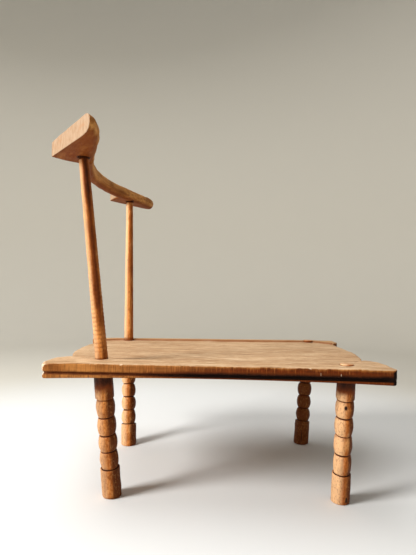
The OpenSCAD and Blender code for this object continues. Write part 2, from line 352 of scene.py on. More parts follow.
def leg_material():
    g = Graph("leg_wood")
    colour, height, _, fibres = wood_base(
        g, srgb(230, 152, 78), srgb(184, 102, 36), srgb(98, 42, 9), 0.006, 0.46)
    grain = g.attribute("grain", "Vector")
    grime = g.noise(grain, (70, 130, 130), 4.0, 0.65)
    # smoky patches and small dark flecks left by the knife
    smoke = g.noise(grain, (30, 62, 62), 4.0, 0.6, 0.5)
    colour = g.tint(colour, srgb(122, 60, 14), g.ramp(smoke, 0.46, 0.66), 0.60)
    colour = g.tint(colour, srgb(238, 182, 118), g.ramp(smoke, 0.46, 0.32), 0.45)
    # painted highlight on the side towards the window, and painted shade on the side away from it
    colour = g.tint(colour, srgb(240, 202, 156), g.attribute("pale"), 0.60)
    colour = g.tint(colour, srgb(82, 35, 4), g.attribute("painted_shade"), 0.95)
    fleck = g.attribute("fleck")
    speckle = g.noise(grain, (210, 330, 330), 3.0, 0.6)
    pale = g.math("MULTIPLY", g.ramp(speckle, 0.50, 0.30), g.math("MULTIPLY", fleck, 0.24))
    colour = g.mix(pale, colour, srgb(220, 156, 90))
    dull = g.math("MULTIPLY", g.ramp(speckle, 0.50, 0.68), g.math("MULTIPLY", fleck, 0.48))
    colour = g.mix(dull, colour, srgb(116, 54, 12))
    flecks = g.noise(grain, (190, 480, 480), 2.0, 0.5)
    colour = g.tint(colour, srgb(84, 36, 10), g.ramp(flecks, 0.62, 0.74), 0.42)
    height = g.math("SUBTRACT", height, g.math("MULTIPLY", g.math("MULTIPLY", speckle, fleck), 0.9))
    # dirt, and painted shade in the necks, in the creases and under the plank
    soiled_and_shaded = broken(g, g.attribute("dirt_and_shade"), grime, 0.5)
    colour = g.mix(g.ramp(soiled_and_shaded, 0.12, 0.62), colour, srgb(112, 52, 15))
    colour = g.mix(g.ramp(soiled_and_shaded, 0.50, 1.05), colour, srgb(38, 14, 4))
    colour = g.mix(g.ramp(g.attribute("worn"), 0.3, 0.9), colour, srgb(238, 205, 164))
    colour = g.mix(g.ramp(g.attribute("mark"), 0.35, 0.75), colour, srgb(40, 20, 12))
    rough = g.math("ADD", 0.40, g.math("MULTIPLY", fibres, 0.25))
    return g.finish(colour, rough, height, 0.0005, 0.10)


def rail_material():
    g = Graph("rail_wood")
    colour, height, _, fibres = wood_base(
        g, srgb(216, 160, 92), srgb(182, 122, 62), srgb(104, 54, 18), 0.008, 0.50)
    grain = g.attribute("grain", "Vector")
    grime = g.noise(grain, (40, 70, 70), 5.0, 0.65)
    # painted shade on the faces turned downwards
    under = g.ramp(broken(g, g.attribute("under"), grime, 1.0), 0.05, 1.15)
    colour = g.tint(colour, srgb(108, 46, 6), under, 0.92)
    # paler on the faces turned upwards, most of all along the slender middle
    bare = broken(g, g.attribute("top"), grime, 0.5)
    colour = g.tint(colour, srgb(206, 170, 128), g.ramp(bare, 0.25, 0.95), 0.6)
    smoke = g.noise(grain, (13, 34, 34), 5.0, 0.65, 0.4)
    colour = g.tint(colour, srgb(100, 48, 12), g.ramp(smoke, 0.50, 0.66), 0.55)
    # paler patches away from the underside's painted shade
    away_from_underside = g.math("SUBTRACT", 1.0, g.attribute("under"))
    away_from_underside = g.math("MULTIPLY", away_from_underside, g.ramp(smoke, 0.44, 0.30))
    colour = g.tint(colour, srgb(222, 164, 94), away_from_underside, 0.35)
    dirt_and_shade = broken(g, g.attribute("dirt_and_shade"), grime, 0.7)
    colour = g.mix(g.ramp(dirt_and_shade, 0.30, 0.85), colour, srgb(54, 25, 10))
    # raw wood where the ends were sawn off, and on the wings' inner faces, there partly painted
    # light
    end = g.noise(grain, (300, 300, 60), 4.0, 0.6)
    raw = g.mix(g.ramp(end, 0.42, 0.72), srgb(162, 136, 112), srgb(142, 112, 84))
    raw = g.tint(raw, srgb(160, 110, 72), g.ramp(grime, 0.50, 0.75), 0.50)
    specks = g.noise(grain, (520, 520, 240), 2.0, 0.5)
    raw = g.tint(raw, srgb(136, 86, 50), g.ramp(specks, 0.60, 0.72), 0.5)
    colour = g.mix(g.ramp(g.attribute("cut"), 0.35, 0.65), colour, raw)
    rough = g.math("ADD", 0.44, g.math("MULTIPLY", fibres, 0.25))
    return g.finish(colour, rough, height, 0.0004, 0.06)


# ------------ sticks
def turned(angle):
    """The turn by an angle about the vertical."""
    c, s = math.cos(angle), math.sin(angle)
    return np.array([[c, -s, 0], [s, c, 0], [0, 0, 1]])


def stick_axes(low, high):
    """The same frame that the CAD turns a stick into: its +Z runs low to high."""
    d = np.asarray(high, float) - np.asarray(low, float)
    b = math.acos(d[2] / np.linalg.norm(d))
    lean = np.array([[math.cos(b), 0, math.sin(b)], [0, 1, 0], [-math.sin(b), 0, math.cos(b)]])
    return (turned(math.atan2(d[1], d[0])) @ lean).T


def leg_line(leg):
    """Foot, shoulder under the plank, and the end of the stick."""
    foot = np.array([*leg.foot, 0.0])
    rim = np.array([*leg.hole, SEAT_H])
    shoulder = foot + (rim - foot) * SEAT_UNDER / SEAT_H
    if leg.post_top is None:
        return foot, shoulder, rim
    return foot, shoulder, np.array([*leg.post_top, RAIL_H])


def under_z(x):
    """The arch of the plank's underside."""
    half = SEAT_L / 2
    t = (np.asarray(x, float) - (BACK_X + half)) / half
    return SEAT_UNDER + ARCH * np.clip(1 - t * t, 0, 1)


def facets(theta, rng, count, shallow, deep):
    """A round section cut by flat strokes: its radius, as a share of the full one."""
    share = np.ones_like(theta)
    start = rng.uniform(0, math.tau)
    for i in range(count):
        at = start + math.tau * (i + rng.uniform(-0.28, 0.28)) / count
        flat = rng.uniform(deep, shallow)
        facing = np.cos(theta - at)
        near = facing > 0.3
        share = np.where(near, np.minimum(share, flat / np.maximum(facing, 0.3)), share)
    return share


def bead_radius(s, z0, z1, neck_d):
    """Radius of a bead between heights z0 and z1: one arc from neck to neck."""
    rise = (BEAD_D - neck_d) / 2
    half = (z1 - z0) / 2
    r = (half * half + rise * rise) / (2 * rise)
    return BEAD_D / 2 - r + np.sqrt(max(r * r - (s - (z0 + z1) / 2) ** 2, 0))


AROUND = 84
THETA = np.arange(AROUND) * math.tau / AROUND
# the facets take a little off the silhouette, so the round they are cut from is fuller
FULLER = 1.012
# the far legs were cut in deeper between their beads
FAR_NECK_DEEPER = 2.4
# ripples that the knife left on the posts: depth on the near and far one, and their spacing
NEAR_CHATTER, FAR_CHATTER, CHATTER_STEP = 0.44, 0.2, 7.2
# the painted shade down each post: the way it faces, its half width in radians, its strength
POST_SHADE_SIDE = np.array([0.45, -0.89, 0.0])
POST_SHADE_WIDE, NEAR_POST_SHADE, FAR_POST_SHADE = 0.62, 0.85, 0.3

# height and radius from the floor
FOOT_ROUND = ((0.0, 13.2), (0.15, 14.4), (0.7, 15.2), (1.6, 15.7), (3.0, 15.95))
# height from the foot's top, radius, painted shade on the shelf under the lowest bead
FOOT_BRIM = ((-1.6, 15.95, 0), (-0.7, 15.75, 0), (-0.2, 15.2, 0.1), (0.0, 14.3, 0.9))
# shares of a bead's height, close together at its necks
BEAD_STEPS = (0.012, 0.03, 0.055, 0.09, 0.14, 0.20, 0.27, 0.34, 0.42, 0.5,
              0.58, 0.66, 0.73, 0.80, 0.86, 0.91, 0.945, 0.97, 0.988)
# height from the last bead, radius, painted shade in the crease under the head
HEAD_BASE = ((0.15, 13.1, 1.0), (0.7, 14.2, 0.5), (1.5, 14.85, 0.2), (2.6, 15.2, 0.05))
# distance past the rim and radius of a front leg's tenon, closing in on its middle
TENON_TIP = ((-6.0, 11.0), (-1.2, 11.0), (0.3, 10.85), (0.75, 10.5), (1.0, 9.9),
             (1.1, 8.0), (1.15, 5.5), (1.15, 3.0), (1.15, 1.2))
# radii that close a post's top, inside the rail
POST_TIP = (7.6, 5.0, 2.0)

# centre and reach of a knot on the near front leg's top bead and a check in its foot, dirt
# at the near back foot, and a split in the far front foot
MARKS = {
    "near_front_leg": (((203, -190, 172), (4.0, 9, 5.5)), ((214, -160, 9), (2.2, 6, 7))),
    "near_back_leg_post": (((-188, -142, 3), (8, 6, 1.6)),),
    "far_front_leg": (((208, 137, 22), (1.0, 8, 20)),),
}


def leg_rings(leg, far, length, span, rng):
    """The rings of a stick from the foot up: (along, radius, dirt and painted shade, wear, upper).

    Along is measured from the foot, or from the shoulder where upper is true.
    """
    rings = []

    def add(s, radius, dirt_and_shade=0.0, worn=0.0, upper=False):
        rings.append((s, radius, dirt_and_shade, worn, upper))

    girth = leg.girth * FULLER
    neck_d = NECK_D - (FAR_NECK_DEEPER if far else 0.0)

    def cutting(count, shallow, deep):
        return girth * facets(THETA, rng, count, shallow, deep)

    # foot
    shape = cutting(11, 0.995, 0.968)
    top = leg.beads[0]
    for s, r in FOOT_ROUND:
        add(s, r * shape, 0.35 if s < 1 else 0.12)
    for s in np.arange(5.0, top - 2.0, 2.2):
        add(s, FOOT_D / 2 * shape)
    for s, r, dirt_and_shade in FOOT_BRIM:
        add(top + s, r * shape, dirt_and_shade, 0.35 if dirt_and_shade < 0.2 else 0.0)
    # beads, whose necks are knife cuts that slope a little, with painted shade in the necks
    for z0, z1 in zip(leg.beads[:-1], leg.beads[1:]):
        shape = cutting(int(rng.integers(6, 9)), 0.985, 0.935)
        slope = rng.uniform(-0.7, 0.7)
        for t in BEAD_STEPS:
            s = z0 + (z1 - z0) * t
            near = min(t, 1 - t) * (z1 - z0)
            r = bead_radius(s, z0, z1, neck_d) - 1.15 * bell(near, 0, 0.95)
            r = r * (girth + (shape - girth) * (0.35 + 0.65 * math.sin(math.pi * t)))
            add(s + slope * np.sin(THETA + z0), r, 1.05 * bell(near, 0, 1.25))
    # head, up to the plank, darkened towards its top by the plank's painted shadow
    shape = cutting(10, 0.995, 0.965)
    top = leg.beads[-1]
    for s, r, dirt_and_shade in HEAD_BASE:
        add(top + s, r * shape, dirt_and_shade)
    for t in np.linspace(0.12, 1.0, 12):
        add(top + (length - top) * t, HEAD_D / 2 * shape, 0.90 * smoothstep(0.05, 0.80, t))
    # tenon inside the plank
    tenon = np.full(AROUND, TENON_D / 2)
    add(1.0, tenon, 0.5, 0, True)
    if leg.post_top is None:
        for s, r in TENON_TIP:
            add(span + s, np.full(AROUND, r),
                0.55 if s < -1 else 0.0, 0.5 if r < 10.6 else 0.1, True)
        return rings
    # post, from just above the plank into the rail
    collar = SEAT_T + 1
    run = span + SOCKET_DEEP - 1 - collar
    shape = facets(THETA, rng, 12, 0.998, 0.978)
    chatter = FAR_CHATTER if far else NEAR_CHATTER
    for s in np.arange(4.0, collar, 4.0):
        add(s, tenon, 0.5, 0, True)
    for s in np.arange(0.0, run, 1.6):
        t = s / run
        r = (TENON_D * (1 - t) + POST_TOP_D * t) / 2
        fade = smoothstep(0, 12, s) * (1 - 0.75 * smoothstep(90, 260, s))
        wave = np.sin(s * math.tau / CHATTER_STEP + 1.3 * np.sin(THETA + s / 40))
        ripple = chatter * fade * (wave - 1) / 2
        # dirt at the plank and where the post goes into the rail, and darker in the ripples'
        # troughs
        dirt_and_shade = 0.45 * (1 - smoothstep(0, 5, s)) - 0.8 * float(np.mean(ripple))
        dirt_and_shade += 0.9 * smoothstep(-1.5, 1.5, collar + s - span)
        add(collar + s, r * (1 + (shape - 1) * min(1, s / 10 + 0.2)) + ripple, dirt_and_shade, 0, True)
    for r in POST_TIP:
        add(collar + run, np.full(AROUND, r), 0.9, 0, True)
    return rings


def place_rings(leg, rings, low_axes, high_axes):
    """A stick's points in mm and their grain directions, with its ends cut level."""
    foot, shoulder, _ = leg_line(leg)
    length = np.linalg.norm(shoulder - foot)
    first_upper = sum(not ring[4] for ring in rings)
    verts, grain = [], []
    for i, (s, r, _, _, upper) in enumerate(rings):
        ax = high_axes if upper else low_axes
        s = np.broadcast_to(np.asarray(s, float), (AROUND,)).copy()
        across = np.outer(np.cos(THETA) * r, ax[0]) + np.outer(np.sin(THETA) * r, ax[1])
        level = -across[:, 2] / ax[2][2]
        if not upper:
            # the foot is cut level with the floor, and the head to the plank's arch
            s = s + level * (1 - smoothstep(0, leg.beads[0] * 0.8, s))
            at_plank = foot + across + length * ax[2]
            plank_s = (under_z(at_plank[:, 0]) + 0.4) / ax[2][2] + level
            share = smoothstep(leg.beads[-1] + 3, length, np.minimum(s, length))
            s = s + (plank_s - length) * share
        elif leg.post_top is None and i > first_upper:
            s = s + level
        verts.append((shoulder if upper else foot) + across + np.outer(s, ax[2]))
        run_s = s + (length if upper else 0)
        grain.append(np.stack([run_s, np.cos(THETA) * r, np.sin(THETA) * r], 1))
    return np.concatenate(verts), np.concatenate(grain)


def build_leg(name, leg, material, seed):
    """One stick: foot, beads and head, then the tenon or the post."""
    far = name.startswith("far")
    foot, shoulder, end = leg_line(leg)
    length = np.linalg.norm(shoulder - foot)
    span = np.linalg.norm(end - shoulder)
    low_axes = stick_axes(foot, shoulder)
    high_axes = stick_axes(shoulder, end)
    rings = leg_rings(leg, far, length, span, np.random.default_rng(seed))
    verts, grain = place_rings(leg, rings, low_axes, high_axes)
    dirt_and_shade, worn, upper = (np.repeat([ring[k] for ring in rings], AROUND) for k in (2, 3, 4))

    if leg.post_top is not None:
        # painted shade down the post from the rail, for its shaded side and the rail's shadow
        facing = high_axes @ POST_SHADE_SIDE
        round_by = np.tile(THETA, len(rings)) - math.atan2(facing[1], facing[0])
        round_by = np.abs((round_by + math.pi) % math.tau - math.pi)
        rise = grain[:, 0] - length
        weave = 0.12 * np.sin(rise / 33.0) + 0.08 * np.sin(rise / 14.0 + 1)
        post_shade = bell(round_by + weave, 0, POST_SHADE_WIDE) * smoothstep(40, 130, rise)
        post_shade *= 0.75 + 0.25 * smoothstep(200, 330, rise)
        dirt_and_shade = np.maximum(dirt_and_shade, (FAR_POST_SHADE if far else NEAR_POST_SHADE) * post_shade)

    # hand-cut unevenness, kept inside the turned shape; none at the floor or round the axis
    out = np.linalg.norm(grain[:, 1:], axis=1)
    radial = grain[:, 1:] / np.maximum(out, 1e-6)[:, None]
    bump = np.where(upper, 0.08, 0.24) * (field(grain + seed * 40, 16, seed + 1, (1.6, 1, 1)) - 0.8)
    bump += 0.08 * field(grain, 4.5, seed + 2, (1.6, 1, 1))
    bump *= np.where(out < 8, 0, np.clip((verts[:, 2] - 0.5) / 4, 0, 1))
    # painted light on the side towards the window, and painted shade on the other side
    toward_window = np.zeros(len(verts))
    for pick, ax in ((~upper, low_axes), (upper, high_axes)):
        way = np.outer(radial[:, 0], ax[0]) + np.outer(radial[:, 1], ax[1])
        verts[pick] += (way * bump[:, None])[pick]
        toward_window[pick] = (way @ WINDOW_SIDE)[pick]
    verts[:, 2] = np.maximum(verts[:, 2], 0)
    # painted shade away from the window, and over a whole leg that keeps little painted light
    painted_shade = np.maximum(smoothstep(0.42, -0.05, toward_window), 1 - leg.paleness)
    mark = np.zeros(len(verts))
    for spot, reach in MARKS.get(name, ()):
        mark = np.maximum(mark, blob(verts, spot, reach))
    masks = {
        "dirt_and_shade": dirt_and_shade,
        "worn": worn,
        "mark": mark,
        "fleck": np.where(upper, 0.15, 1.0),
        # painted highlight on the window side, painted shade on the other
        "pale": smoothstep(0.45, 0.95, toward_window) * leg.paleness,
        "painted_shade": np.where(upper, 0.35 * painted_shade, painted_shade),
    }

    faces = ring_faces(len(rings), AROUND)
    faces.append(tuple(reversed(range(AROUND))))
    faces.append(tuple(range(len(verts) - AROUND, len(verts))))
    # each stick is cut from its own place in the wood
    grain[:, 1:] += np.array([seed * 55.0, seed * 31.0])
    make_piece("carved_" + name, verts, faces, masks, grain, material, name)


# ------------ seat plank
def half_end(side_w, ear_l, lobe_short):
    """Half of one end, as in the CAD: lobe, notch and ear, ear tip at x = 0."""
    outer_r, half = 9.0, LOBE_W / 2
    round_w = min(47.0, side_w - outer_r - half - 0.5)
    lobe_l = ear_l - lobe_short
    lobe_r = (half * half + lobe_l * lobe_l) / (2 * lobe_l)

    def arc(cx, cy, r, a0, a1, n):
        a = np.linspace(a0, a1, n + 1)
        return np.stack([cx + r * np.cos(a), cy + r * np.sin(a)], 1)

    a = np.radians(np.linspace(85, 0, 30))
    return np.vstack([
        arc(-lobe_short - lobe_r, 0, lobe_r, 0, math.asin((half - 2) / lobe_r), 32),
        np.stack([ear_l * (np.cos(a) - 1), half + round_w * (1 - np.sin(a))], 1),
        arc(-outer_r, side_w - outer_r, outer_r, 0, math.pi / 2, 12)])


def seat_outline():
    """The plank's plan, counter-clockwise from the near side of its front end."""
    flip = np.array([1, -1])
    near, far = (half_end(SEAT_W_FRONT / 2, ear, FRONT_LOBE_SHORT) for ear in FRONT_EARS)
    front = np.vstack([near[::-1] * flip, far]) + np.array([FRONT_X, 0])
    near, far = (half_end(SEAT_W_BACK / 2, ear, BACK_LOBE_SHORT) for ear in BACK_EARS)
    back = np.vstack([far[::-1], near * flip]) * np.array([-1, 1]) + np.array([BACK_X, 0])
    front[:, 0] += front[:, 1] * math.tan(FRONT_SKEW)
    back[:, 0] -= back[:, 1] * math.tan(BACK_SKEW)
    return np.vstack([front, back])


def from_front(x, y):
    """How far a point is from the line through the front ears' tips, inwards negative."""
    return x - y * math.tan(FRONT_SKEW) - FRONT_X


def half_w(x):
    """Half the plank's width, which grows from back to front."""
    return (SEAT_W_BACK + (SEAT_W_FRONT - SEAT_W_BACK) * (np.asarray(x) - BACK_X) / SEAT_L) / 2


DISH_X = np.arange(-340.0, 341.0, 2.0)


def dish_half_width(side, back_ear, front_ear):
    """Half the dish's width along DISH_X, on one side: it closes in to the notches."""
    flare, half = 42.0, LOBE_W / 2 - 1
    b0, f0 = BACK_X + back_ear - 3, FRONT_X - front_ear + 3
    wide_b, wide_f = half_w(b0 + flare) - RIM_W, half_w(f0 - flare) - RIM_W
    back, front = side * math.tan(BACK_SKEW), side * math.tan(FRONT_SKEW)
    xs = [-340, b0 - half * back, b0 + flare - wide_b * back,
          f0 - flare + wide_f * front, f0 + half * front, 340]
    b = np.interp(DISH_X, xs, [half, half, wide_b, wide_f, half, half])
    kernel = np.hanning(13)
    b = np.convolve(np.pad(b, 6, mode="edge"), kernel / kernel.sum(), "valid")
    wavy = field(np.stack([DISH_X, DISH_X * 0 + 90 * side, DISH_X * 0], 1), 70, 5)
    return b + 0.5 * wavy


DISH_B = {-1: dish_half_width(-1, BACK_EARS[0], FRONT_EARS[0]),
          1: dish_half_width(1, BACK_EARS[1], FRONT_EARS[1])}
# how far the panel's edge slopes down from the rims
WALL = 2.4
# worn back corners, near and far, and the bare wood on the near one
NEAR_CORNER, FAR_CORNER = (-298, -178), (-300, 180)
BARE_X, BARE_Y = -298, -186
# the holes' slack round a tenon, and the height where they meet the top
HOLE_SLACK, HOLE_TOP = 0.35, 242.5
# height of the middle of the scorched band
SCORCH_MID = 224.5
# reach of the grid of points that fills the top and the underside
GRID_X, GRID_Y = 310, 222
# how the edge is rounded into the top: inset, drop, edge mask
TOP_ROUND = ((3.5, 0.0, 0.10), (2.4, 0.1, 0.16), (1.55, 0.35, 0.26),
             (0.85, 0.8, 0.42), (0.35, 1.5, 0.65), (0.05, 2.5, 0.92))
# shares of the height from there down to the groove
EDGE_STEPS = (0.25, 0.5, 0.72, 0.9)
# the groove: inset, height from its middle, char mask
GROOVE = ((0.3, 3.0, 0.55), (1.0, 2.5, 0.75), (2.2, 2.0, 0.95), (3.0, 1.0, 1.0), (3.2, 0.0, 1.0),
          (3.0, -1.1, 1.0), (2.2, -2.0, 0.95), (1.2, -2.5, 0.7), (0.9, -3.1, 0.42))
# how the lip under it is rounded: inset, height over the underside, char mask
LIP = ((0.9, 1.7, 0.44), (1.3, 0.8, 0.44), (2.2, 0.25, 0.40), (4.0, 0.0, 0.30))
# place and height of two pale nicks in the near edge
NICKS = ((154, 231), (186, 232))
# points round each hole
LOOP = 60


def dish_depth_at(x, y):
    """How far a point is inside the dish's edge: negative on the rims."""
    depth = {}
    for side, width in DISH_B.items():
        slope = np.interp(x, DISH_X, np.gradient(width, DISH_X))
        depth[side] = (np.interp(x, DISH_X, width) - side * y) / np.sqrt(1 + slope * slope)
    return np.where(y < 0, depth[-1], depth[1])


def top_z(x, y):
    """Height of the plank's top: rims that fall outwards and an uneven, dished panel."""
    x, y = np.asarray(x, float), np.asarray(y, float)
    d = dish_depth_at(x, y)
    p = np.stack([x, y, x * 0], 1)
    rim = SEAT_H - RIM_FALL * np.clip(-d, 0, RIM_W + 10) / RIM_W
    rim -= 0.35 * bell(d, 0, 0.9) + 0.10 * (1 + field(p, 40, 11, (3, 1, 1)))
    hollow = SEAT_H - DISH_D - 0.5 * (1 - (y / 175) ** 2) * (1 - (x / 330) ** 2)
    hollow += 0.28 * field(p, 42, 12, (3.2, 1, 1)) + 0.09 * field(p, 9, 13, (9, 1, 1))
    t = smoothstep(-0.1, WALL, d)
    return rim * (1 - t) + hollow * t


def plan_tree(points):
    """A search tree of 2-D points."""
    tree = KDTree(len(points))
    for j, p in enumerate(points):
        tree.insert((p[0], p[1], 0), j)
    tree.balance()
    return tree


def build_seat(material):
    """The plank: rows of points round its edge, then its top, underside and holes."""
    outline = closed_resample(seat_outline(), 1.8)
    for _ in range(2):
        outline = (np.roll(outline, 1, axis=0) + 2 * outline + np.roll(outline, -1, axis=0)) / 4
    n = len(outline)
    normals = outward(outline)
    for _ in range(3):
        normals = np.roll(normals, 1, axis=0) + normals * 2 + np.roll(normals, -1, axis=0)
        normals /= np.linalg.norm(normals, axis=1, keepdims=True)
    flat3 = np.column_stack([outline, np.zeros(n)])
    uneven = 0.22 * (field(flat3, 55, 21) - 1.0)
    wear = 1 + 0.35 * field(flat3, 26, 22) + 0.25 * field(flat3, 7, 23)
    x, y = outline[:, 0], outline[:, 1]
    corner = 0.9 * blob(outline, NEAR_CORNER, (16, 30))
    corner += 0.5 * blob(outline, FAR_CORNER, (14, 30))
    # the groove dies out round the front end and is shallower at the back
    groove_in = 1 - 0.85 * smoothstep(-20, -9, from_front(x, y)) - 0.3 * smoothstep(-280, -292, x)
    groove_z = GROOVE_MID + 0.45 * field(flat3, 120, 24) - 1.2 * smoothstep(60, 290, x)
    rounding = wear * (1 + 1.3 * corner)
    lip_low = under_z(x)

    # each row: points in plan, height, edge mask, char mask
    rows = []

    def from_top(inset, drop, edge):
        xy = outline - normals * (inset * rounding - uneven)[:, None]
        rows.append((xy, top_z(xy[:, 0], xy[:, 1]) - drop * rounding, edge, 0.0))

    def at_height(inset, z, scorch_and_shade):
        xy = outline - normals * (inset - uneven)[:, None]
        rows.append((xy, z, 1.0, scorch_and_shade))

    for inset, drop, edge in TOP_ROUND:
        from_top(inset, drop, edge)
    edge_top = rows[-1][1]
    for t in EDGE_STEPS:
        side3 = np.column_stack([outline, np.full(n, 240 - 12 * t)])
        belly = 0.12 * (1 + field(side3, 18, 25, (2.5, 2.5, 1)))
        at_height(belly, edge_top * (1 - t) + (groove_z + 3.4) * t, 0.45 * smoothstep(0.3, 1, t))
    for inset, up, scorch_and_shade in GROOVE:
        lowest = lip_low + 2.0 + (3.1 + up) * 0.2
        at_height(0.3 + (inset - 0.3) * groove_in, np.maximum(groove_z + up, lowest), scorch_and_shade)
    for inset, up, scorch_and_shade in LIP:
        at_height(inset, lip_low + up, scorch_and_shade)

    verts = [np.column_stack([xy, z]) for xy, z, _, _ in rows]
    edge = [np.full(n, e) for _, _, e, _ in rows]
    scorch_and_shade = [np.full(n, c) for _, _, _, c in rows]
    faces = ring_faces(len(rows), n, flip=True)

    # holes for the legs: one loop in the top and one in the underside
    turn = np.arange(LOOP) * math.tau / LOOP
    circle = np.stack([np.cos(turn), np.sin(turn)], 1)
    holes = []
    for i, leg in enumerate(LEGS.values()):
        _, shoulder, end = leg_line(leg)
        way = (end - shoulder) / (end - shoulder)[2]
        r = TENON_D / 2 + HOLE_SLACK + 0.12 * np.sin(3 * turn + i)
        top = (shoulder + way * (HOLE_TOP - SEAT_UNDER))[:2] + circle * r[:, None]
        low = (shoulder + way * 1.0)[:2] + circle * r[:, None]
        holes.append((top, low))

    count = sum(len(v) for v in verts)
    hole_rows = []

    def sheet(ring_row, which, step, z_of, upward):
        """Fills the top or the underside, sewn to its ring and to the holes' loops."""
        nonlocal count
        ring = verts[ring_row][:, :2]
        ring_ids = np.arange(n) + ring_row * n
        loops_xy = [h[which] for h in holes]
        points = [ring] + loops_xy
        edges = [(j, (j + 1) % n) for j in range(n)]
        at = n
        for _ in loops_xy:
            edges += [(at + j, at + (j + 1) % LOOP) for j in range(LOOP)]
            at += LOOP
        lines = []
        if which == 0:
            for off in (0.0, WALL):
                for side in (-1, 1):
                    px = np.arange(-300, 306, 2.2)
                    py = side * (np.interp(px, DISH_X, DISH_B[side]) - off)
                    lines.append(np.column_stack([px, py]))
        tree = plan_tree(np.vstack(points))
        kept_lines = []
        for line in lines:
            ok = inside(line, ring)
            for loop in loops_xy:
                ok &= ~inside(line, loop)
            ok &= np.array([tree.find((p[0], p[1], 0))[2] > 1.5 for p in line])
            ids = []
            for p, good in zip(line, ok):
                if good:
                    if ids and ids[-1] == at - 1:
                        edges.append((at - 1, at))
                    ids.append(at)
                    kept_lines.append(p)
                    at += 1
                else:
                    ids = []
        if kept_lines:
            points.append(np.array(kept_lines))
        near = np.vstack(points)
        tree = plan_tree(near)
        gx, gy = np.meshgrid(np.arange(-GRID_X, GRID_X + 1, step),
                             np.arange(-GRID_Y, GRID_Y + 1, step * 0.866))
        gx = gx + (np.arange(gx.shape[0]) % 2)[:, None] * step / 2
        grid = np.column_stack([gx.ravel(), gy.ravel()])
        grid = grid[inside(grid, ring)]
        for loop in loops_xy:
            grid = grid[~inside(grid, loop)]
        grid = grid[[tree.find((p[0], p[1], 0))[2] > 0.62 * min(step, 2.4) for p in grid]]
        flat = np.vstack([near, grid])
        out = delaunay_2d_cdt([tuple(p) for p in flat], edges, [], 0, 1e-5)
        if len(out[0]) != len(flat):
            raise RuntimeError("the plank's fill gained or lost points")
        tris = np.array([f for f in out[2] if len(f) == 3])
        rim = tris.max(axis=1) < n + LOOP * len(loops_xy)
        centre = flat[tris].mean(axis=1)
        keep = ~rim | inside(centre, ring)
        for loop in loops_xy:
            keep &= ~(rim & inside(centre, loop))
        tris = tris[keep]
        extra = flat[n:]
        new = np.column_stack([extra, z_of(extra)])
        ids = np.concatenate([ring_ids, np.arange(len(extra)) + count])
        hole_rows.append([count + k * LOOP + np.arange(LOOP) for k in range(len(loops_xy))])
        verts.append(new)
        edge.append(np.full(len(new), 0.0 if upward else 1.0))
        scorch_and_shade.append(np.full(len(new), 0.0 if upward else 0.15))
        count += len(new)
        a, b, c = flat[tris[:, 0]], flat[tris[:, 1]], flat[tris[:, 2]]
        ccw = ((b[:, 0] - a[:, 0]) * (c[:, 1] - a[:, 1])
               - (b[:, 1] - a[:, 1]) * (c[:, 0] - a[:, 0])) > 0
        wrong = ccw != upward
        tris[wrong] = tris[wrong][:, ::-1]
        faces.extend(map(tuple, ids[tris].tolist()))

    def underside(p):
        p3 = np.column_stack([p, np.zeros(len(p))])
        adze = 0.25 * (1 + field(p3, 30, 31, (1, 1.6, 1)))
        return under_z(p[:, 0]) + adze

    sheet(0, 0, 2.5, lambda p: top_z(p[:, 0], p[:, 1]), True)
    sheet(len(rows) - 1, 1, 6.0, underside, False)
    for top, low in zip(*hole_rows):
        for j in range(LOOP):
            k = (j + 1) % LOOP
            faces.append((int(top[j]), int(top[k]), int(low[k]), int(low[j])))

    verts = np.concatenate(verts)
    edge = np.concatenate(edge)
    scorch_and_shade = np.concatenate(scorch_and_shade)
    x, y, z = verts.T
    # the scorching is narrow at the back and climbs the edge towards the front
    strong = smoothstep(-190, 0, x)
    side = smoothstep(0.8, 1.0, edge)
    above = z - SCORCH_MID
    reach = np.where(above > 0, 4.4 + 4.8 * strong, 3.2)
    climb = bell(above, 0, reach)
    scorch_and_shade = np.maximum(scorch_and_shade * (0.5 + 0.5 * strong), side * climb * (0.62 + 0.38 * strong))
    # painted shade on the front ears' end faces, turned away from the window
    ahead = from_front(x, y)
    near_end = 1.1 * smoothstep(-13, -5, ahead) * (y < -150)
    far_end = 0.75 * smoothstep(-16, -3, ahead) * (y > 120)
    scorch_and_shade = np.maximum(scorch_and_shade, side * np.maximum(near_end, far_end))
    # darker towards the front: smoke stain, and painted shade where the window's light falls off
    deep = smoothstep(-250, 60, x) * side
    worn = 0.80 * bell(x, BARE_X, 8) * bell(y, BARE_Y, 12) * (z > 217)
    worn += 0.42 * (edge > 0.2) * (edge < 0.8) * (0.6 + 0.5 * field(verts, 22, 41))
    for nick_x, nick_z in NICKS:
        worn += 0.80 * bell(x, nick_x, 0.9) * bell(z, nick_z, 4.5) * side * (y < 0)
    level = edge < 0.15
    depth = dish_depth_at(x, y)
    # painted shade on the panel's sloping edge under the rims
    wall = level * smoothstep(-1.2, 0.1, depth) * smoothstep(WALL + 2.6, WALL, depth)
    rim = level * smoothstep(0.5, -0.5, depth) * smoothstep(0, 40, y)
    masks = {"edge": edge, "scorch_and_shade": scorch_and_shade, "deep": deep, "worn": worn, "wall": wall, "rim": rim}
    # the plank's grain runs along it, so its own points serve as grain directions
    make_piece("carved_seat", verts, faces, masks, verts, material, "seat")


# ------------ head rail
# fineness of the rail's mesh; passes of smoothing, each a pull in and a push out
VOXEL = 1.15
PASSES, PULL, PUSH = 170, 0.66, 0.648
# past this distance from the middle, the rail's ends are near their saw cuts
END_FROM = 100
POSTS = ("near_back_leg_post", "far_back_leg_post")


def rail_frame():
    """The middle of the rail and how far it is turned askew."""
    near, far = (LEGS[name].post_top for name in POSTS)
    mid = (np.array(near) + np.array(far)) / 2
    turn = -math.atan2(far[0] - near[0], far[1] - near[1])
    return mid, turn


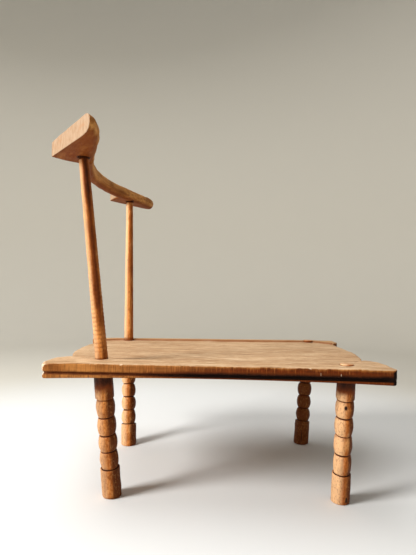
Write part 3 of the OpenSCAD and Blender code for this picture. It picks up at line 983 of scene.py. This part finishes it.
def build_rail(material):
    """The CAD rail, remeshed finely, smoothed off its cuts and carved over."""
    obj = placed("rail_work", frame["nodes"]["head_rail"].data.copy())
    remesh = obj.modifiers.new("remesh", "REMESH")
    remesh.mode = "VOXEL"
    remesh.voxel_size = VOXEL * MM
    graph = bpy.context.evaluated_depsgraph_get()
    done = bpy.data.meshes.new_from_object(obj.evaluated_get(graph))
    bpy.data.objects.remove(obj)

    count = len(done.vertices)
    p = np.zeros(count * 3)
    done.vertices.foreach_get("co", p)
    p = p.reshape(-1, 3) / MM
    ends = np.zeros(len(done.edges) * 2, np.int64)
    done.edges.foreach_get("vertices", ends)
    ends = ends.reshape(-1, 2)
    faces = [tuple(f.vertices) for f in done.polygons]
    bpy.data.meshes.remove(done)
    degree = np.bincount(ends.ravel(), minlength=count).astype(float)

    mid, turn = rail_frame()
    c, s = math.cos(turn), math.sin(turn)

    def local(q):
        dx, dy = q[:, 0] - mid[0], q[:, 1] - mid[1]
        return np.stack([dx * c + dy * s, -dx * s + dy * c, q[:, 2] - RAIL_H], 1)

    def world(q):
        return np.stack([mid[0] + q[:, 0] * c - q[:, 1] * s, mid[1] + q[:, 0] * s + q[:, 1] * c,
                         q[:, 2] + RAIL_H], 1)

    q = local(p)

    def saw_cuts(q):
        """For each cut: its side and direction, and how far points are out of it and along it."""
        for side, (wing, horn) in CUTS.items():
            way = np.array(horn) - np.array(wing)
            way /= np.linalg.norm(way)
            dx, dy = q[:, 0] - wing[0], side * q[:, 1] - wing[1]
            yield side, way, dy * way[0] - dx * way[1], dx * way[0] + dy * way[1]

    def cut_distance(q):
        """How far each point is outside its end's saw cut, negative in the wood."""
        away = np.full(len(q), -1e3)
        for side, _, beyond, _ in saw_cuts(q):
            away = np.where(side * q[:, 1] > END_FROM, beyond, away)
        return away

    def averaged(v):
        total = np.zeros_like(v)
        for k in range(v.shape[1]):
            total[:, k] = (np.bincount(ends[:, 0], v[ends[:, 1], k], count)
                           + np.bincount(ends[:, 1], v[ends[:, 0], k], count))
        return total / degree[:, None]

    away = cut_distance(q)
    sockets = []
    for name in POSTS:
        _, shoulder, end = leg_line(LEGS[name])
        way = (end - shoulder) / np.linalg.norm(end - shoulder)
        rel = p - end
        radial = rel - np.outer(rel @ way, way)
        sockets.append(np.where(p[:, 2] < RAIL_H + SOCKET_DEEP + 4,
                                np.linalg.norm(radial, axis=1), 99))
    socket = np.minimum(*sockets)
    free = smoothstep(0.6, 4.5, -away) * smoothstep(9.8, 14.0, socket)
    on_cut = away > -0.7
    for _ in range(PASSES):
        q += (averaged(q) - q) * (PULL * free)[:, None]
        q -= (averaged(q) - q) * (PUSH * free)[:, None]
    # light smoothing of the cuts' outlines, and the cuts themselves are flat
    for _ in range(4):
        q += (averaged(q) - q) * (0.4 * (1 - free) * (socket > 12))[:, None]
    for side, way, beyond, along in saw_cuts(q):
        pick = on_cut & (side * q[:, 1] > END_FROM)
        saw = 0.10 * (1 + np.sin(along * math.tau / 5.3 + 0.04 * q[:, 2]) * 0.6
                      + field(np.stack([along, q[:, 2] * 0.2, along * 0], 1), 3.0, 61) * 0.4)
        shift = np.where(pick, -saw - beyond, 0.0)
        q[:, 0] += shift * -way[1]
        q[:, 1] += shift * way[0] * side

    # hand carving over the rounded faces
    tri = np.array([f[:3] for f in faces])
    fn = np.cross(q[tri[:, 1]] - q[tri[:, 0]], q[tri[:, 2]] - q[tri[:, 0]])
    normal = np.zeros_like(q)
    for k in range(3):
        for m in range(3):
            normal[:, m] += np.bincount(tri[:, k], fn[:, m], count)
    normal /= np.maximum(np.linalg.norm(normal, axis=1, keepdims=True), 1e-9)
    carve = 0.30 * (field(q, 34, 62) - 1.0) + 0.10 * field(q, 9, 63, (1, 2.5, 1))
    q += normal * (carve * free)[:, None]

    # grain runs round the rail's curve
    centre = RAIL_R - RAIL_BACK
    angle = np.arctan2(q[:, 1], centre - q[:, 0])
    radius = np.hypot(q[:, 1], centre - q[:, 0])
    grain = np.stack([angle * RAIL_R, radius - RAIL_R, q[:, 2]], 1)
    cut = smoothstep(-1.3, -0.5, cut_distance(q)) * on_cut
    # the wings' inner faces are pale: partly raw sawn wood, partly painted light from the window
    inner_raw_and_lit = smoothstep(0.15, 0.45, -normal[:, 1] * np.sign(q[:, 1]))
    inner_raw_and_lit *= smoothstep(0.1, 0.4, -normal[:, 0])
    inner_raw_and_lit *= smoothstep(-14, -24, q[:, 0]) * (np.abs(q[:, 1]) > END_FROM)
    inner_raw_and_lit *= smoothstep(0.75, 0.5, np.abs(normal[:, 2]))
    cut = np.maximum(cut, 0.9 * inner_raw_and_lit)
    # painted shade on the faces turned downwards
    under = smoothstep(-0.25, -0.90, normal[:, 2])
    top = smoothstep(0.45, 0.95, normal[:, 2])
    top *= 0.35 + 0.65 * smoothstep(215, 130, np.abs(q[:, 1]))
    dirt_and_shade = 0.75 * np.exp(-((socket - 9) / 3.5).clip(0) ** 2) * (q[:, 2] < 12)
    # painted shade on the top of the near horn, on its side towards the seat, and dirt along
    # the outlines of the cuts
    dirt_and_shade += 0.55 * blob(q, (34.0, -262.0, 24.0), (10, 16, 12))
    dirt_and_shade += 0.35 * bell(-away, 2.2, 1.6) * (1 - cut)
    masks = {"cut": cut, "under": under, "top": top, "dirt_and_shade": dirt_and_shade}
    make_piece("carved_head_rail", world(q), faces, masks, grain, material,
               "head_rail")


# ------------ build
leg_wood = leg_material()
FIRST_SEED = 3
for number, (leg_name, leg) in enumerate(LEGS.items()):
    build_leg(leg_name, leg, leg_wood, FIRST_SEED + number)
build_seat(seat_material())
build_rail(rail_material())


# ------------ floor, lights and camera
def build_stage():
    """A pale round floor that sweeps up into a plain wall on every side."""
    around, radius, bend, height = 96, 3.0, 0.9, 3.4
    profile = [(0.0, 0.0), (0.8, 0.0), (1.6, 0.0), (radius - bend, 0.0)]
    for a in np.linspace(0, math.pi / 2, 14)[1:]:
        profile.append((radius - bend + bend * math.sin(a), bend - bend * math.cos(a)))
    profile.append((radius, height))
    verts, faces = [(0.0, 0.0, 0.0)], []
    for r, z in profile[1:]:
        verts += [(r * math.cos(t), r * math.sin(t), z)
                  for t in np.arange(around) * math.tau / around]
    faces += [(0, 1 + j, 1 + (j + 1) % around) for j in range(around)]
    faces += ring_faces(len(profile) - 1, around, first=1, flip=True)
    mesh = bpy.data.meshes.new("stage")
    mesh.from_pydata(verts, [], faces)
    mesh.polygons.foreach_set("use_smooth", [True] * len(mesh.polygons))
    g = Graph("stage_paint")
    # browner with the distance from the middle, in metres
    away = g.node("ShaderNodeVectorMath", operation="LENGTH")
    g.put(away.inputs[0], g.node("ShaderNodeTexCoord").outputs["Object"])
    colour = g.mix(g.ramp(away.outputs["Value"], 0.62, 1.25),
                   srgb(222, 223, 223), srgb(206, 202, 192))
    g.put(g.shader.inputs["Base Color"], colour)
    g.shader.inputs["Roughness"].default_value = 0.8
    mesh.materials.append(g.material)
    placed("stage", mesh)


def area_light(name, direction, distance, size, watts, colour):
    """A round, soft light that shines on the chair from the given direction."""
    data = bpy.data.lights.new(name, "AREA")
    data.shape = "DISK"
    data.size = size
    data.energy = watts
    data.color = colour
    light = placed(name, data)
    way = np.array(direction, float)
    way /= np.linalg.norm(way)
    light.location = np.array(LIT) + way * distance
    aim = Vector((-way).tolist())
    light.rotation_mode = "QUATERNION"
    light.rotation_quaternion = aim.to_track_quat("-Z", "Y")


# the middle of what the lights shine on, in metres
LIT = (0, 0, 0.25)

build_stage()
area_light("window", WINDOW_WAY, distance=2.35, size=0.75, watts=72, colour=(1.0, 0.99, 0.965))
area_light("overhead", (-0.25, 0.1, 1.0), distance=2.6, size=2.4, watts=42,
           colour=(1.0, 0.99, 0.975))

room = bpy.data.worlds.new("room")
room.use_nodes = True
sky = room.node_tree.nodes["Background"]
sky.inputs["Color"].default_value = (0.97, 0.98, 1.0, 1.0)
sky.inputs["Strength"].default_value = 0.23
bpy.context.scene.world = room
bpy.context.scene.view_settings.view_transform = "Standard"


# where the camera stands, in mm, its tilt, roll and turn in degrees, and its lens in mm
EYE = (-44.6, -907.5, 360.0)
TILTS = (1.958, 1.058, -1.2)
LENS = 28.15


def build_camera():
    """The viewing angle: eye level above the seat, a little left of the middle."""
    pitch, roll, yaw = (math.radians(degrees) for degrees in TILTS)
    forward = np.array([0, math.cos(pitch), math.sin(pitch)])
    up = np.array([0, -math.sin(pitch), math.cos(pitch)])
    right = np.array([1.0, 0, 0])
    right, up = (math.cos(roll) * right + math.sin(roll) * up,
                 -math.sin(roll) * right + math.cos(roll) * up)
    turn = turned(yaw)
    data = bpy.data.cameras.new("camera")
    data.sensor_width = 36.0
    data.lens = LENS
    data.clip_start, data.clip_end = 0.02, 30
    camera = placed("camera", data)
    pose = np.eye(4)
    pose[:3, 0] = turn @ right
    pose[:3, 1] = turn @ up
    pose[:3, 2] = turn @ -forward
    pose[:3, 3] = np.array(EYE) * MM
    camera.matrix_world = Matrix(pose.tolist())
    bpy.context.scene.camera = camera


build_camera()
